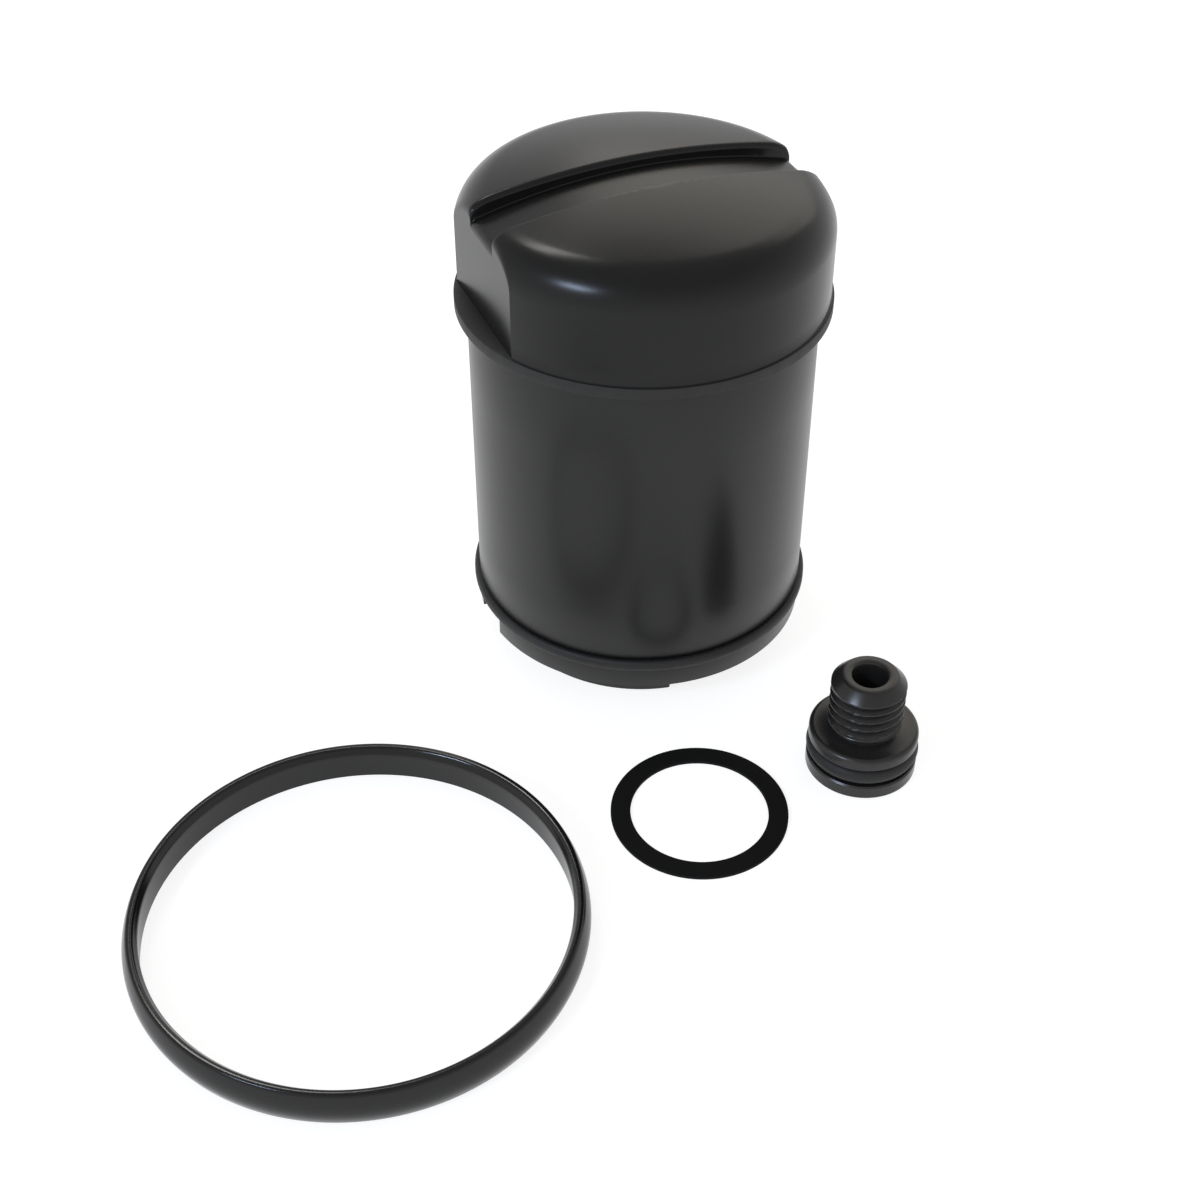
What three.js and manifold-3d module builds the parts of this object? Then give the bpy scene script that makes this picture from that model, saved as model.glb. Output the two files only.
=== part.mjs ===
// Oil filter kit: a black canister with an unscrewing cap and a pleated cartridge inside it,
// laid out on one surface with its hollow threaded nipple, its flat sealing washer and its guard ring.
// Millimetres, +Z up. The origin is the middle of the whole layout, on the surface it stands on.
import * as THREE from 'three';
import { mergeVertices } from 'three/addons/utils/BufferGeometryUtils.js';
import Module from 'manifold-3d';

const wasm = await Module();
wasm.setup();

// ---- Driving dimensions ----
const GAP = 0.3; // clearance between neighbouring pieces
const ROUND = 32; // facets round a turned piece
const FINE = 24; // facets round a small turned piece

const TUBE = { radius: 42, wall: 1.2, bottom: 16.55, top: 94.5 };
const BEAD = { radius: 43.35, bore: 41.2, bottom: 13.45, edge: 0.9 };
const SKIRT = { radius: 42.1, bore: 39.6, bottom: 7.7, shoulder: 13.15, neck: 40.9, top: 16.2 };
const NOTCH_DEGREES = 16.5; // each of the two notches in the skirt's lower edge
const BASE_REACH = 60; // from the axis to past the base's outside
const LUGS = { radius: 35.3, bore: 31.8, height: 4.6, top: 9.2, count: 4, degrees: 70 };
const PLATE = { radius: 39.3, bottom: 9.5, top: 12.9, bossRadius: 12.5, bossTop: 24, bore: 9.3 };
const INLETS = { count: 8, radius: 3, circle: 19.5 };
const GASKET = { bore: 24.5, radius: 29.5, bottom: 5.8, top: 9.2 };
const VALVE = { bore: 13, radius: 25.5, bottom: 13.2, thick: 1.0, lip: 1.5 };

const COLLAR = { radius: 44.9, bottom: 94.8, top: 97.65, bore: 39.7, sleeve: 40.5, sleeveBottom: 84 };
const CAP = { wall: 44.2, fillet: 10.4, filletZ: 114.07, crownRadius: 192.5, crownTop: 127.64, shell: 5 };
const NECK = { radius: 39.3, bottom: 85.65, bore: 36.9, step: 91.5, cavity: 35.4 };
const GROOVE = { floor: 37.0, bottom: 93.2, top: 96.0 };
const CAP_O_RING = { middle: 38.4, section: 1.1, z: 94.6 };
const FLATS = { distance: 40.15, width: 46, cutThick: 20, cutTall: 50 };
const CHANNEL = { near: -8, far: 6.35, floor: 124.9, arcRadius: 150, steps: 12 };
const TURN_DEGREES = 22.5; // the channel across the cap, and the flats at its ends, from +X

const MEDIA = { bore: 18, radius: 33.5, pleats: 32, depth: 9.6, bottom: 19.5, top: 87.7 };
const END_CAP = { radius: 35.6, rim: 0.8, rimHeight: 3.8, thick: 1.4 };
const CLIP = { outside: 1.5, inside: 0.95, back: 0.5, grip: 2, endMargin: 5 };
const CORE = { bore: 16.6, radius: 17.4, holeRadius: 0.95, holeLength: 6, rows: 5, holesPerRow: 6 };
const SEAT = { bore: 5.5, neck: 8.7, flange: 13, bottom: 86.9, flangeBottom: 89.7, top: 90.9 };
const POPPET = { radius: 8, bottom: 85.2, top: 86.6, stem: 1.8, stemBottom: 71 };
const CAGE = { bore: 10.2, wall: 11.2, floor: 71.5, thick: 1, flange: 16.2, flangeBottom: 86.6, top: 87.7 };
const CAGE_WINDOW = { reach: 40, width: 9, margin: 2 };
const BYPASS_SPRING = { middle: 6, wire: 0.5, turns: 6 };
const HOLD_SPRING = { middle: 11.2, wire: 1, turns: 5 };
const SPRING_SEAT = { bore: 6, radius: 13, bottom: 120.9, top: 122 };

const NIPPLE = { bore: 4.15, height: 28.1, endRadius: 6.8, major: 9, root: 7.5 };
const THREAD = { pitch: 2.5, bottom: 14.6, crestFrom: 0.44, crestTo: 0.56 };
const FLANGE = { radius: 13.2, lowTop: 3.8, grooveFloor: 8.9, highBottom: 9.0, top: 12.2, edge: 1.2 };
const FOOT_RADIUS = 13.35; // the flange below the O-ring
const NIPPLE_O_RING = { middle: 11.45, section: 2.1, z: 6.4 };
const WASHER = { bore: 16.4, radius: 21.1, thick: 0.9 };
const RING = { bore: 48.2, rimBore: 48.4, rim: 50.1, height: 9.05 };
const RING_LIP = { bore: 47.65, bottom: 6.3, top: 7.45 };
const RING_SIDE = { foot: 50.35, bulge: 1.275, steps: 6 };

// Where each loose piece lies, from the canister's axis.
const NIPPLE_PLACE = [53.3, -60.5];
const WASHER_PLACE = [13.3, -78.2];
const RING_PLACE = [-63.7, -113.975];

// The canister's axis from the middle of the layout's bounding box.
const ringRadius = (RING.rim + RING_SIDE.foot) / 2 + RING_SIDE.bulge;
const layoutMinX = RING_PLACE[0] - ringRadius;
const layoutMaxX = NIPPLE_PLACE[0] + NIPPLE_O_RING.middle + NIPPLE_O_RING.section;
const layoutMinY = RING_PLACE[1] - ringRadius;
const layoutMaxY = COLLAR.radius;
const CAN_PLACE = [-(layoutMinX + layoutMaxX) / 2, -(layoutMinY + layoutMaxY) / 2];

// ---- Materials ----
const paint = (color, roughness, metalness) => (
  new THREE.MeshStandardMaterial({ color, roughness, metalness })
);
const blackEnamel = () => paint(0x2b2b2b, 0.3, 0.2);
const matteBlack = () => paint(0x262626, 0.7, 0.1);
const blackOxide = () => paint(0x3a3a3a, 0.4, 0.8);
const zincSteel = () => paint(0xb8b6ac, 0.35, 1);
const blackRubber = () => paint(0x1c1c1c, 0.85, 0);
const filterPaper = () => paint(0xd9b98a, 0.95, 0);
const springSteel = () => paint(0x8c8c8c, 0.3, 1);
const moulding = () => paint(0x33342f, 0.6, 0);

// ---- Solids ----
const solidOf = (geometry) => {
  const bare = geometry.clone();
  bare.deleteAttribute('normal');
  bare.deleteAttribute('uv');
  const merged = mergeVertices(bare, 1e-4);
  return new wasm.Manifold(new wasm.Mesh({
    numProp: 3,
    vertProperties: new Float32Array(merged.attributes.position.array),
    triVerts: new Uint32Array(merged.index.array),
  }));
};

const geometryOf = (solid) => {
  const mesh = solid.getMesh();
  const geometry = new THREE.BufferGeometry();
  geometry.setAttribute('position', new THREE.BufferAttribute(new Float32Array(mesh.vertProperties), 3));
  geometry.setIndex(new THREE.BufferAttribute(new Uint32Array(mesh.triVerts), 1));
  geometry.computeVertexNormals();
  return geometry;
};

// A solid turned about Z from [radius, height] points listed anticlockwise.
const turned = (profile, facets = ROUND) => {
  const closed = profile[0][0] > 0 ? [...profile, profile[0]] : profile;
  const points = closed.map(([radius, height]) => new THREE.Vector2(radius, height));
  return new THREE.LatheGeometry(points, facets).rotateX(Math.PI / 2);
};

// Points of an arc in the radius-height plane, from one angle to another in degrees.
const arc = (radius, height, size, from, to, steps) => Array.from({ length: steps + 1 }, (_, i) => {
  const angle = THREE.MathUtils.degToRad(from + (to - from) * i / steps);
  return [radius + size * Math.cos(angle), height + size * Math.sin(angle)];
});

const ring = (bore, radius, bottom, top) => turned([
  [bore, bottom], [radius, bottom], [radius, top], [bore, top],
]);

const oRing = ({ middle, section, z }, facets) => turned(arc(middle, z, section, 0, 315, 7), facets);

// A round bar standing on Z, to cut holes with.
const bar = (radius, bottom, top, facets = 8) => {
  const geometry = new THREE.CylinderGeometry(radius, radius, top - bottom, facets);
  return geometry.rotateX(Math.PI / 2).translate(0, 0, (top + bottom) / 2);
};

const coil = ({ middle, wire, turns }, bottom, top) => {
  class Helix extends THREE.Curve {
    getPoint(t, target = new THREE.Vector3()) {
      const angle = 2 * Math.PI * turns * t;
      return target.set(middle * Math.cos(angle), middle * Math.sin(angle), bottom + (top - bottom) * t);
    }
  }
  const section = new THREE.Shape();
  section.absarc(0, 0, wire, 0, 2 * Math.PI);
  return new THREE.ExtrudeGeometry(section, {
    steps: Math.round(turns * 10), curveSegments: 3, extrudePath: new Helix(),
  });
};

// A wedge of a turned solid, between two angles in degrees about Z, to keep or cut away.
const wedge = (middleDegrees, widthDegrees, reach, bottom, top) => {
  const half = THREE.MathUtils.degToRad(widthDegrees / 2);
  const outline = new THREE.Shape([
    new THREE.Vector2(0, 0),
    new THREE.Vector2(reach, -reach * Math.tan(half)),
    new THREE.Vector2(reach, reach * Math.tan(half)),
  ]);
  const geometry = new THREE.ExtrudeGeometry(outline, { depth: top - bottom, bevelEnabled: false });
  return geometry.translate(0, 0, bottom).rotateZ(THREE.MathUtils.degToRad(middleDegrees));
};

// ---- Base ----
const baseSkirt = () => {
  let solid = solidOf(turned([
    [SKIRT.bore, SKIRT.bottom], [SKIRT.radius, SKIRT.bottom], [SKIRT.radius, SKIRT.shoulder],
    [SKIRT.neck, SKIRT.shoulder], [SKIRT.neck, SKIRT.top], [SKIRT.bore, SKIRT.top],
  ]));
  for (const side of [0, 180]) {
    const notch = wedge(side, NOTCH_DEGREES, BASE_REACH, SKIRT.bottom - 1, SKIRT.shoulder);
    solid = solid.subtract(solidOf(notch));
  }
  return geometryOf(solid);
};

const lugRing = () => {
  let solid = solidOf(ring(LUGS.bore, LUGS.radius, 0, LUGS.top));
  const pitch = 360 / LUGS.count;
  for (let i = 0; i < LUGS.count; i += 1) {
    solid = solid.subtract(solidOf(wedge(i * pitch, pitch - LUGS.degrees, BASE_REACH, -1, LUGS.height)));
  }
  return geometryOf(solid);
};

const basePlate = () => {
  let solid = solidOf(turned([
    [PLATE.bore, PLATE.bottom], [PLATE.radius, PLATE.bottom], [PLATE.radius, PLATE.top],
    [PLATE.bossRadius, PLATE.top], [PLATE.bossRadius, PLATE.bossTop], [PLATE.bore, PLATE.bossTop],
  ]));
  for (let i = 0; i < INLETS.count; i += 1) {
    const angle = 2 * Math.PI * i / INLETS.count;
    const hole = bar(INLETS.radius, PLATE.bottom - 1, PLATE.top + 1);
    hole.translate(INLETS.circle * Math.cos(angle), INLETS.circle * Math.sin(angle), 0);
    solid = solid.subtract(solidOf(hole));
  }
  return geometryOf(solid);
};

const seamBead = () => {
  const top = TUBE.bottom - GAP;
  return turned([
    [BEAD.bore, BEAD.bottom],
    ...arc(BEAD.radius - BEAD.edge, BEAD.bottom + BEAD.edge, BEAD.edge, -90, 0, 3),
    ...arc(BEAD.radius - BEAD.edge, top - BEAD.edge, BEAD.edge, 0, 90, 3),
    [BEAD.bore, top],
  ]);
};

// A rubber disc with a turned-down outer lip that lies over the inlet holes.
const antiDrainValve = () => turned([
  [VALVE.bore, VALVE.bottom], [VALVE.radius, VALVE.bottom], [VALVE.radius, VALVE.bottom + VALVE.thick],
  [VALVE.bore + 1.5, VALVE.bottom + VALVE.thick], [VALVE.bore + 1.5, VALVE.bottom + VALVE.lip],
  [VALVE.bore, VALVE.bottom + VALVE.lip],
]);

// ---- Canister mouth and cap ----
const mouthCollar = () => turned([
  [COLLAR.bore, COLLAR.sleeveBottom], [COLLAR.sleeve, COLLAR.sleeveBottom], [COLLAR.sleeve, COLLAR.bottom],
  [COLLAR.radius - 0.5, COLLAR.bottom], [COLLAR.radius, COLLAR.bottom + 0.5],
  [COLLAR.radius, COLLAR.top - 0.5], [COLLAR.radius - 0.5, COLLAR.top], [COLLAR.bore, COLLAR.top],
]);

const filletMiddle = CAP.wall - CAP.fillet;
const crownCentre = CAP.crownTop - CAP.crownRadius;

// Where the spherical crown runs into the rounded shoulder.
const shoulderAngle = Math.atan2(CAP.filletZ - crownCentre, filletMiddle);
const crownEdge = CAP.crownRadius * Math.cos(shoulderAngle);

const capHeight = (radius) => {
  if (radius < crownEdge) return crownCentre + Math.sqrt(CAP.crownRadius ** 2 - radius ** 2);
  return CAP.filletZ + Math.sqrt(Math.max(0, CAP.fillet ** 2 - (radius - filletMiddle) ** 2));
};

// The channel across the crown: a square-sided slot whose floor falls away on an arc towards both ends.
const channelCutter = () => {
  const reach = FLATS.distance + 1;
  const arcCentre = CHANNEL.floor - CHANNEL.arcRadius;
  const floor = Array.from({ length: CHANNEL.steps + 1 }, (_, i) => {
    const along = reach * (2 * i / CHANNEL.steps - 1);
    return new THREE.Vector2(along, arcCentre + Math.sqrt(CHANNEL.arcRadius ** 2 - along ** 2));
  });
  const above = CAP.crownTop + 1;
  const lid = [new THREE.Vector2(reach, above), new THREE.Vector2(-reach, above)];
  const outline = new THREE.Shape([...floor, ...lid]);
  const slot = new THREE.ExtrudeGeometry(outline, { depth: CHANNEL.far - CHANNEL.near, bevelEnabled: false });
  return slot.rotateX(Math.PI / 2).translate(0, CHANNEL.far, 0);
};

const threadedCap = () => {
  const edge = THREE.MathUtils.radToDeg(shoulderAngle);
  const ceiling = CAP.crownRadius - CAP.shell;
  const cornerRadius = NECK.cavity - CAP.shell;
  const corner = THREE.MathUtils.radToDeg(Math.acos(cornerRadius / ceiling));
  const cornerZ = crownCentre + ceiling * Math.sin(THREE.MathUtils.degToRad(corner));
  const solid = solidOf(turned([
    [0, crownCentre + ceiling],
    ...arc(0, crownCentre, ceiling, 90, corner, 3).slice(1),
    [NECK.cavity, cornerZ - CAP.shell], [NECK.cavity, NECK.step], [NECK.bore, NECK.step],
    [NECK.bore, NECK.bottom], [NECK.radius, NECK.bottom],
    [NECK.radius, GROOVE.bottom], [GROOVE.floor, GROOVE.bottom],
    [GROOVE.floor, GROOVE.top], [NECK.radius, GROOVE.top],
    [NECK.radius, COLLAR.top + GAP], [CAP.wall, COLLAR.top + GAP],
    ...arc(filletMiddle, CAP.filletZ, CAP.fillet, 0, edge, 5),
    ...arc(0, crownCentre, CAP.crownRadius, edge, 90, 4).slice(1, -1),
    [0, CAP.crownTop],
  ]));
  const flatCut = (side) => {
    const box = new THREE.BoxGeometry(FLATS.cutThick, FLATS.width, FLATS.cutTall);
    const out = FLATS.distance + FLATS.cutThick / 2;
    return solidOf(box.translate(side * out, 0, COLLAR.top + FLATS.cutTall / 2));
  };
  return geometryOf(solid.subtract(flatCut(1)).subtract(flatCut(-1)).subtract(solidOf(channelCutter())));
};

// ---- Cartridge ----
// One zigzag sheet of filter paper closed into a ring, drawn as a star with a star-shaped hole.
const pleatedMedia = () => {
  const star = (tip, valley) => Array.from({ length: 2 * MEDIA.pleats }, (_, i) => {
    const radius = i % 2 === 0 ? tip : valley;
    const angle = Math.PI * i / MEDIA.pleats;
    return new THREE.Vector2(radius * Math.cos(angle), radius * Math.sin(angle));
  });
  const outline = new THREE.Shape(star(MEDIA.radius, MEDIA.radius - MEDIA.depth));
  outline.holes.push(new THREE.Path(star(MEDIA.bore + MEDIA.depth, MEDIA.bore).reverse()));
  const depth = MEDIA.top - MEDIA.bottom;
  return new THREE.ExtrudeGeometry(outline, { depth, bevelEnabled: false }).translate(0, 0, MEDIA.bottom);
};

// The thin channel that pinches the two ends of the paper together over one pleat.
const mediaClip = () => {
  const { outside, inside } = CLIP;
  const back = MEDIA.radius + GAP;
  const front = MEDIA.radius - CLIP.grip;
  const outer = back + CLIP.back;
  const outline = new THREE.Shape([
    [front, -outside], [outer, -outside], [outer, outside], [front, outside],
    [front, inside], [back, inside], [back, -inside], [front, -inside],
  ].map(([x, y]) => new THREE.Vector2(x, y)));
  const bottom = MEDIA.bottom + CLIP.endMargin;
  const depth = MEDIA.top - CLIP.endMargin - bottom;
  return new THREE.ExtrudeGeometry(outline, { depth, bevelEnabled: false }).translate(0, 0, bottom);
};

const centreTube = () => {
  let solid = solidOf(ring(CORE.bore, CORE.radius, MEDIA.bottom, MEDIA.top));
  const rise = (MEDIA.top - MEDIA.bottom) / (CORE.rows + 1);
  for (let row = 0; row < CORE.rows; row += 1) {
    for (let i = 0; i < CORE.holesPerRow; i += 1) {
      const hole = new THREE.CylinderGeometry(CORE.holeRadius, CORE.holeRadius, CORE.holeLength, 6);
      hole.rotateZ(Math.PI / 2).translate(CORE.radius, 0, MEDIA.bottom + rise * (row + 1));
      hole.rotateZ(2 * Math.PI * (i + (row % 2) / 2) / CORE.holesPerRow);
      solid = solid.subtract(solidOf(hole));
    }
  }
  return geometryOf(solid);
};

const SEAL = { bore: 12.8, neck: 16, flange: 18.5, bottom: 16.9, step: 17.7, top: 19.2 };
const elementSeal = () => turned([
  [SEAL.bore, SEAL.bottom], [SEAL.flange, SEAL.bottom], [SEAL.flange, SEAL.step],
  [SEAL.neck, SEAL.step], [SEAL.neck, SEAL.top], [SEAL.bore, SEAL.top],
]);

const bottomEndCap = () => {
  const top = MEDIA.bottom - GAP;
  const inside = END_CAP.radius - END_CAP.rim;
  return turned([
    [SEAL.neck + GAP, top - END_CAP.thick + 0.2], [END_CAP.radius, top - END_CAP.thick + 0.2],
    [END_CAP.radius, top + END_CAP.rimHeight], [inside, top + END_CAP.rimHeight],
    [inside, top], [SEAL.neck + GAP, top],
  ]);
};

const topEndCap = () => {
  const bottom = MEDIA.top + GAP;
  const inside = END_CAP.radius - END_CAP.rim;
  return turned([
    [SEAT.neck + GAP, bottom], [inside, bottom], [inside, bottom - END_CAP.rimHeight],
    [END_CAP.radius, bottom - END_CAP.rimHeight], [END_CAP.radius, bottom + END_CAP.thick],
    [SEAT.neck + GAP, bottom + END_CAP.thick],
  ]);
};

// ---- Bypass valve, in the cartridge's top ----
const bypassSeat = () => turned([
  [SEAT.bore, SEAT.bottom], [SEAT.neck, SEAT.bottom], [SEAT.neck, SEAT.flangeBottom],
  [SEAT.flange, SEAT.flangeBottom], [SEAT.flange, SEAT.top], [SEAT.bore, SEAT.top],
], FINE);

const bypassPoppet = () => turned([
  [0, POPPET.stemBottom], [POPPET.stem, POPPET.stemBottom], [POPPET.stem, POPPET.bottom],
  [POPPET.radius, POPPET.bottom], [POPPET.radius, POPPET.top], [0, POPPET.top],
], FINE);

const bypassCage = () => {
  const guide = POPPET.stem + 0.5;
  const floorTop = CAGE.floor + CAGE.thick;
  let solid = solidOf(turned([
    [guide, CAGE.floor], [CAGE.wall, CAGE.floor], [CAGE.wall, CAGE.flangeBottom],
    [CAGE.flange, CAGE.flangeBottom], [CAGE.flange, CAGE.top], [CAGE.bore, CAGE.top],
    [CAGE.bore, floorTop], [guide, floorTop],
  ], FINE));
  for (const turn of [0, Math.PI / 2]) {
    const tall = CAGE.flangeBottom - floorTop - 2 * CAGE_WINDOW.margin;
    const window = new THREE.BoxGeometry(CAGE_WINDOW.reach, CAGE_WINDOW.width, tall);
    window.translate(0, 0, (CAGE.flangeBottom + floorTop) / 2).rotateZ(turn);
    solid = solid.subtract(solidOf(window));
  }
  return geometryOf(solid);
};

const bypassSpring = () => {
  const clear = GAP + BYPASS_SPRING.wire;
  return coil(BYPASS_SPRING, CAGE.floor + CAGE.thick + clear, POPPET.bottom - clear);
};

const holdDownSpring = () => {
  const clear = GAP + HOLD_SPRING.wire;
  return coil(HOLD_SPRING, SEAT.top + clear, SPRING_SEAT.bottom - clear);
};

const springSeat = () => ring(SPRING_SEAT.bore, SPRING_SEAT.radius, SPRING_SEAT.bottom, SPRING_SEAT.top);

// ---- Loose pieces ----
// The thread is drawn as a row of turned ridges at its real pitch.
const threadedNipple = () => {
  const ridges = [];
  const chamferBottom = NIPPLE.height - (NIPPLE.major - NIPPLE.endRadius);
  for (let z = THREAD.bottom; z + THREAD.pitch <= chamferBottom; z += THREAD.pitch) {
    ridges.push([NIPPLE.root, z], [NIPPLE.major, z + THREAD.pitch * THREAD.crestFrom]);
    ridges.push([NIPPLE.major, z + THREAD.pitch * THREAD.crestTo]);
  }
  return turned([
    [NIPPLE.bore, 0], [FOOT_RADIUS, 0], [FOOT_RADIUS, FLANGE.lowTop],
    [FLANGE.grooveFloor, FLANGE.lowTop], [FLANGE.grooveFloor, FLANGE.highBottom],
    [FLANGE.radius, FLANGE.highBottom],
    ...arc(FLANGE.radius - FLANGE.edge, FLANGE.top - FLANGE.edge, FLANGE.edge, 0, 90, 3),
    [NIPPLE.root, FLANGE.top], ...ridges,
    [NIPPLE.root, ridges.at(-1)[1] + THREAD.pitch * THREAD.crestFrom], [NIPPLE.major, chamferBottom],
    [NIPPLE.endRadius, NIPPLE.height], [NIPPLE.bore, NIPPLE.height],
  ], FINE);
};

const sealingWasher = () => ring(WASHER.bore, WASHER.radius, 0, WASHER.thick);

// A band with a domed outside, a flat rim, and a lip inside that stands a little proud of its wall.
const guardRing = () => {
  const dome = [];
  for (let i = 1; i < RING_SIDE.steps; i += 1) {
    const rise = i / RING_SIDE.steps;
    const chord = THREE.MathUtils.lerp(RING_SIDE.foot, RING.rim, rise);
    dome.push([chord + RING_SIDE.bulge * Math.sin(Math.PI * rise), RING.height * rise]);
  }
  return turned([
    [RING.bore, 0], [RING_SIDE.foot, 0], ...dome,
    [RING.rim, RING.height], [RING.rimBore, RING.height], [RING_LIP.bore, RING_LIP.top],
    [RING_LIP.bore, RING_LIP.bottom], [RING.bore, RING_LIP.bottom - GAP],
  ]);
};

// ---- Assembly ----
const piece = (name, geometry, material) => {
  const mesh = new THREE.Mesh(geometry, material);
  mesh.name = name;
  return mesh;
};

const canister = new THREE.Group();
canister.add(
  piece('body_tube', ring(TUBE.radius - TUBE.wall, TUBE.radius, TUBE.bottom, TUBE.top), blackEnamel()),
  piece('seam_bead', seamBead(), matteBlack()),
  piece('base_skirt', baseSkirt(), blackEnamel()),
  piece('lug_ring', lugRing(), blackEnamel()),
  piece('base_plate', basePlate(), zincSteel()),
  piece('base_gasket', ring(GASKET.bore, GASKET.radius, GASKET.bottom, GASKET.top), blackRubber()),
  piece('anti_drain_valve', antiDrainValve(), blackRubber()),
  piece('mouth_collar', mouthCollar(), matteBlack()),
  piece('threaded_cap', threadedCap(), blackEnamel()),
  piece('cap_o_ring', oRing(CAP_O_RING), blackRubber()),
  piece('pleated_media', pleatedMedia(), filterPaper()),
  piece('media_clip', mediaClip(), zincSteel()),
  piece('center_tube', centreTube(), zincSteel()),
  piece('element_seal', elementSeal(), blackRubber()),
  piece('bottom_end_cap', bottomEndCap(), zincSteel()),
  piece('top_end_cap', topEndCap(), zincSteel()),
  piece('bypass_seat', bypassSeat(), moulding()),
  piece('bypass_poppet', bypassPoppet(), moulding()),
  piece('bypass_cage', bypassCage(), zincSteel()),
  piece('bypass_spring', bypassSpring(), springSteel()),
  piece('hold_down_spring', holdDownSpring(), springSteel()),
  piece('spring_seat', springSeat(), zincSteel()),
);
canister.rotation.z = THREE.MathUtils.degToRad(TURN_DEGREES);

const nipple = new THREE.Group();
nipple.add(
  piece('threaded_nipple', threadedNipple(), blackOxide()),
  piece('nipple_o_ring', oRing(NIPPLE_O_RING, FINE), blackRubber()),
);
nipple.position.set(...NIPPLE_PLACE, 0);

const washer = piece('sealing_washer', sealingWasher(), blackRubber());
washer.position.set(...WASHER_PLACE, 0);

const guard = piece('guard_ring', guardRing(), blackEnamel());
guard.position.set(...RING_PLACE, 0);

const kit = new THREE.Group();
kit.add(canister, nipple, washer, guard);
kit.position.set(...CAN_PLACE, 0);

export default kit;
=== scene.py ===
import math
import bmesh
import bpy
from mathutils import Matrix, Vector


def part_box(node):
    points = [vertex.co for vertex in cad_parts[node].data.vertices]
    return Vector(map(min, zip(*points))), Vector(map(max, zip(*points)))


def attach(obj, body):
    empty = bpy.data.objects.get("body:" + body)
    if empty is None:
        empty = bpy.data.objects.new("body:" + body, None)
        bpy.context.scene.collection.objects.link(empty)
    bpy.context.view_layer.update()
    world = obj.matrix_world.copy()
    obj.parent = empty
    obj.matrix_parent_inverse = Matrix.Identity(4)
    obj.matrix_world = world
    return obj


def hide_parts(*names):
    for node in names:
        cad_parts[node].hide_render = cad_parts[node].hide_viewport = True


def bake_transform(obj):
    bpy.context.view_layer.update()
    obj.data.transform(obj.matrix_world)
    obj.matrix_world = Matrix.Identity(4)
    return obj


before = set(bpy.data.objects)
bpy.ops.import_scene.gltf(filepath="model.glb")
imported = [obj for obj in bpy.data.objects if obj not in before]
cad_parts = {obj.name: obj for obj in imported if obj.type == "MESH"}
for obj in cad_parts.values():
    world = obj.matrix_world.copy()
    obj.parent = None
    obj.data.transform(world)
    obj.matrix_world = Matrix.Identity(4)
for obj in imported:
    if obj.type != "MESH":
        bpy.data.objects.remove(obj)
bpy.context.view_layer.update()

# ---------------------------------------------------------------------------
# Bench, camera and studio light.
# A plain pale table top under an even white studio, seen from above and in front.
# ---------------------------------------------------------------------------
MM = 0.001


def linear(code):
    """An sRGB hex colour as the linear colour that a shader takes."""
    parts = [int(code[i:i + 2], 16) / 255 for i in (1, 3, 5)]
    return tuple(p / 12.92 if p <= 0.04045 else ((p + 0.055) / 1.055) ** 2.4 for p in parts) + (1.0,)


def add(tree, kind, sockets, **settings):
    """Adds a node, with its settings, and with each input set to a value or linked from an output."""
    made = tree.nodes.new(kind)
    for name, value in settings.items():
        setattr(made, name, value)
    for name, value in sockets.items():
        if isinstance(value, bpy.types.NodeSocket):
            tree.links.new(value, made.inputs[name])
        else:
            made.inputs[name].default_value = value
    return made


def new_finish(name):
    """An empty material and its node tree."""
    finish = bpy.data.materials.new(name)
    finish.use_nodes = True
    finish.node_tree.nodes.clear()
    return finish, finish.node_tree


def middle_of(node):
    """The upright axis of a node, from its box."""
    low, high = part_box(node)
    return Vector(((low[0] + high[0]) / 2, (low[1] + high[1]) / 2, 0))


def span(node):
    """The heights of a node's lowest and highest points, in mm."""
    return [corner[2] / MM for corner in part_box(node)]


BENCH_SIZE = 8
BENCH_DROP = 0.00005
bpy.ops.object.select_all(action="DESELECT")
bpy.ops.mesh.primitive_plane_add(size=BENCH_SIZE, location=(0, 0, -BENCH_DROP))
bench = bpy.context.object
bench.name = "bench_top"

# Opal acrylic on a light table: a matt white sheet, lit evenly from below,
# so that shadows on it stay pale.
opal, tree = new_finish("opal_acrylic_sheet")
surface = add(tree, "ShaderNodeBsdfPrincipled", {
    "Base Color": linear("#989898"), "Roughness": 0.9, "Emission Color": linear("#ffffff"),
    "Emission Strength": 0.82})
add(tree, "ShaderNodeOutputMaterial", {"Surface": surface.outputs["BSDF"]})
bench.data.materials.append(opal)

world = bpy.data.worlds.new("studio")
bpy.context.scene.world = world
world.use_nodes = True
tree = world.node_tree
tree.nodes.clear()
spot = add(tree, "ShaderNodeTexCoord", {})
part = add(tree, "ShaderNodeSeparateXYZ", {"Vector": spot.outputs["Generated"]})
glow = add(tree, "ShaderNodeMapRange", {
    "Value": part.outputs["Z"], "From Min": 0.1, "From Max": 0.75, "To Min": 1.0, "To Max": 0.5})
sky = add(tree, "ShaderNodeBackground", {
    "Color": linear("#ffffff"), "Strength": glow.outputs["Result"]})
add(tree, "ShaderNodeOutputWorld", {"Surface": sky.outputs["Background"]})

CAMERA_FROM_CAN = Vector((-0.010315, -0.383452, 0.320796))
CAMERA_PITCH = 50.13
CAMERA_LENS = 55.53
SENSOR_WIDTH = 36
can = middle_of("body_tube")
bpy.ops.object.camera_add(
    location=can + CAMERA_FROM_CAN, rotation=(math.radians(CAMERA_PITCH), 0, 0))
camera = bpy.context.object
camera.data.lens = CAMERA_LENS
camera.data.sensor_width = SENSOR_WIDTH
camera.data.clip_start = 0.01
bpy.context.scene.camera = camera
bpy.context.scene.view_settings.view_transform = "Standard"


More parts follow.
